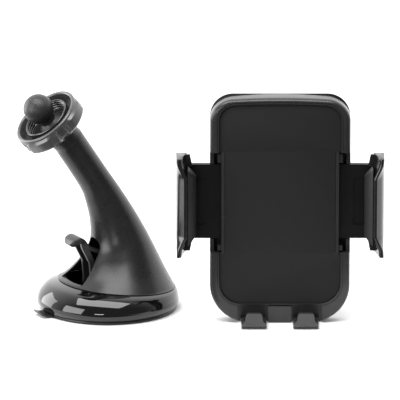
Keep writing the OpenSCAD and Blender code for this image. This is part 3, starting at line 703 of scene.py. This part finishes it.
def pad_outline(inset):
    """The pad's outline, narrower between the jaws' notches, drawn in by inset."""
    w, n, low, top = PAD_HALF - inset, PAD_WAIST - inset, PAD_LOW + inset, PAD_TOP - inset
    a, b = grip_z - WAIST_HALF - inset, grip_z + WAIST_HALF + inset
    right = [(w, low, POCKET_LOW_R - inset), (w, a, 0.7 + inset), (n, a, 0.7), (n, b, 0.7),
             (w, b, 0.7 + inset), (w, top, POCKET_TOP_R - inset)]
    left = [(-x, y, r) for x, y, r in right[::-1]]
    return arched(outline(right + left, 8, 4))


def make_pad():
    """Thin soft sheet stuck in the front's pocket."""
    rows = [(pad_outline(0), 1.6), (pad_outline(0), 1.15), (pad_outline(0.12), 0.9), (pad_outline(0.35), 0.8)]
    verts, faces = skin([[Vector((p.x, y, p.y)) for p in row] for row, y in rows])
    piece("soft_face", verts, faces, "cradle", "pad_rubber", ["face_pad"], CRADLE)


JAW_HALF = 25.3
# Height from the jaw's middle, and the share of the full flare there
FLARE = [(15, 0), (17.6, 0.36), (21.7, 0.88), (JAW_HALF, 1)]


def flare_at(z):
    """The share of the full flare at a height, up or down from the jaw's middle."""
    z = abs(z)
    if z <= FLARE[0][0]:
        return 0.0
    fine = catmull(FLARE, 10)
    for (z0, e0), (z1, e1) in zip(fine, fine[1:]):
        if z <= z1:
            return e0 + (e1 - e0) * (z - z0) / (z1 - z0)
    return 1.0


def jaw_ring(z, shrink=0.0):
    """The jaw's plan at a height: flat inside, a crowned outer face, ends that turn outwards."""
    e = max(0.0, flare_at(z))
    f = 3.2 * e
    outer = catmull([(-48.2 - f, -10.6), (-50.6 - 0.9 * e, -6.2), (-51.6, -1), (-51.7, 3.2)], 8)
    inner = [(-45.8 - 0.6 * e, 3.2), (-45.8 - 0.7 * f, -4), (-45.8 - f, -9.6), (-45.95 - f, -10.6),
             (-46.5 - f, -11.3), (-47.1 - f, -11.5), (-47.75 - f, -11.3)]
    points = [Vector((x, y, z)) for x, y in inner + outer]
    middle = sum(points, Vector()) / len(points)
    return [p + (middle - p).normalized() * shrink for p in points]


def make_jaw(side, place):
    """Upright jaw with flared ends, its root on the slide plate and a wing above and below the plate."""
    inner = [(-JAW_HALF + 0.4) + (2 * JAW_HALF - 0.8) * i / 96 for i in range(97)]
    heights = [(-JAW_HALF, 0.45), (-JAW_HALF + 0.12, 0.15)] + [(z, 0) for z in inner]
    heights += [(JAW_HALF - 0.12, 0.15), (JAW_HALF, 0.45)]
    verts, faces = skin([jaw_ring(z, shrink) for z, shrink in heights])
    obj = piece(side + "_clamp", verts, faces, side + "_jaw", "jaw_gloss", [side + "_jaw"], place)
    add_solid(obj, brick(-51.6, -45.8, 2.2, 7.2, -19, 19), place)
    for s in (-1, 1):
        wing = [(-47.4, s * 18.6), (-43.8, s * 18.6), (-43.8, s * 19.6), (-44.8, s * 24.7), (-47.8, s * 24.7)]
        add_solid(obj, prism(wing, 0.8, 3.2, "y"), place)
    smooth_by_angle(obj)
    soften(obj, 0.2)


def make_jaw_pad(side, place):
    """Soft pad with a broad bevel towards the front and at both ends."""
    # From the jaw to the soft face: place, front edge, rear edge, half height
    rows = [(-45.85, -10.9, -0.6, 19.6), (-45.3, -10.6, -0.6, 18.98), (-43.9, -9.7, -0.6, 17.4),
            (-42.5, -7.7, -0.6, 15.9), (-41.95, -6.85, -1.1, 15.28), (-41.7, -6.3, -2.2, 14.9)]
    rings = []
    for x, y0, y1, half in rows:
        edge = rounded([(y0, -half, 0.7), (y1, -half, 0.7), (y1, half, 0.7), (y0, half, 0.7)], 4)
        rings.append([(x, p.x, p.y) for p in edge])
    verts, faces = skin(rings)
    obj = piece(side + "_cushion", verts, faces, side + "_jaw", "jaw_rubber", [side + "_jaw_pad"], place)
    soften(obj, 0.25)


# ---------------------------------------------------------------- carried-over nodes

make_arm()
make_ring()
make_cup()
make_ball()
make_nut()
make_insert()
make_lever()
make_shell()
make_pad()
for side, place in (("left", LEFT), ("right", RIGHT)):
    make_jaw(side, place)
    make_jaw_pad(side, place)

# Width of the rounded edges of some of these nodes, in millimetres
EDGE = {
    "back_cover": 0.4, "foot_slide": 0.5, "release_button": 0.3, "left_rack": 0.15, "right_rack": 0.15,
    "foot_pads": 0.2, "collet": 0.12, "plunger": 0.2,
}
for name, obj in nodes.items():
    obj.data.materials.clear()
    obj.data.materials.append(LOOKS[SLOTS[name]])
    smooth_by_angle(obj)
    if name in EDGE:
        soften(obj, EDGE[name])

# ---------------------------------------------------------------- camera, floor and light

VIEW_ELEVATION = math.radians(15)
CAMERA_DISTANCE = 3
VIEW_WIDTH = 0.2
SENSOR_WIDTH = 36
LOOK_AT = Vector((0.046, -0.010, 0.0583))

camera_data = bpy.data.cameras.new("camera")
camera = bpy.data.objects.new("camera", camera_data)
collection.objects.link(camera)
back = Vector((0, -math.cos(VIEW_ELEVATION), math.sin(VIEW_ELEVATION)))
camera.location = LOOK_AT + back * CAMERA_DISTANCE
camera.rotation_euler = (-back).to_track_quat("-Z", "Y").to_euler()
camera_data.sensor_width = SENSOR_WIDTH
camera_data.lens = SENSOR_WIDTH * CAMERA_DISTANCE / VIEW_WIDTH
camera_data.clip_start = 0.01
camera_data.clip_end = 20
bpy.context.scene.camera = camera


def area_light(name, place, size, power):
    """A soft rectangular light that faces the object: place and size in metres, power in watts."""
    data = bpy.data.lights.new(name, "AREA")
    data.shape = "RECTANGLE"
    data.size, data.size_y = size
    data.energy = power
    obj = bpy.data.objects.new(name, data)
    collection.objects.link(obj)
    obj.location = place
    obj.rotation_euler = (LOOK_AT - Vector(place)).to_track_quat("-Z", "Y").to_euler()


def floor():
    """A white sheet that ends close in front of the stand and a little further in front of the cradle."""
    mesh = bpy.data.meshes.new("floor")
    left, step, right = -0.09, 0.05, 0.18
    front, cradle_front, rear = -0.048, -0.1, 0.3
    corners = [
        (left, front), (step, front), (step, cradle_front),
        (right, cradle_front), (right, rear), (left, rear),
    ]
    mesh.from_pydata([(x, y, 0) for x, y in corners], [], [tuple(range(len(corners)))])
    obj = bpy.data.objects.new("floor", mesh)
    collection.objects.link(obj)
    mat, _, shader = new_material("floor_paper")
    shader.inputs["Base Color"].default_value = (0.92, 0.92, 0.92, 1)
    shader.inputs["Roughness"].default_value = 0.8
    shader.inputs["Specular IOR Level"].default_value = 0.1
    mesh.materials.append(mat)


def studio():
    """Bright behind the object and dim in front of it, as in a light tent; the camera itself sees white."""
    world = bpy.data.worlds.new("studio")
    bpy.context.scene.world = world
    world.use_nodes = True
    tree = world.node_tree
    background = tree.nodes["Background"]
    where = tree.nodes.new("ShaderNodeTexCoord")
    split = tree.nodes.new("ShaderNodeSeparateXYZ")
    tree.links.new(where.outputs["Generated"], split.inputs["Vector"])
    fade = tree.nodes.new("ShaderNodeMapRange")
    fade.interpolation_type = "SMOOTHSTEP"
    fade.inputs["From Min"].default_value = -0.6
    fade.inputs["From Max"].default_value = 0.7
    fade.inputs["To Min"].default_value = 0.2
    fade.inputs["To Max"].default_value = 1.8
    tree.links.new(split.outputs["Y"], fade.inputs["Value"])
    # A camera ray counts as 1 here, so what the camera sees of the world is never below white
    path = tree.nodes.new("ShaderNodeLightPath")
    seen = tree.nodes.new("ShaderNodeMath")
    seen.operation = "MAXIMUM"
    tree.links.new(path.outputs["Is Camera Ray"], seen.inputs[0])
    tree.links.new(fade.outputs["Result"], seen.inputs[1])
    tree.links.new(seen.outputs["Value"], background.inputs["Strength"])
    background.inputs["Color"].default_value = (1, 1, 1, 1)


floor()
studio()
area_light("top_box", (-0.1, -0.33, 1.0), (1.2, 0.6), 16)
area_light("front_box", (-0.22, -0.95, 0.12), (0.24, 0.07), 0.9)
area_light("left_box", (-0.8, -0.5, 0.25), (0.6, 0.6), 7)
area_light("edge_box", (-0.62, 0.3, 0.15), (0.4, 0.5), 2.5)
bpy.context.scene.view_settings.view_transform = "Standard"
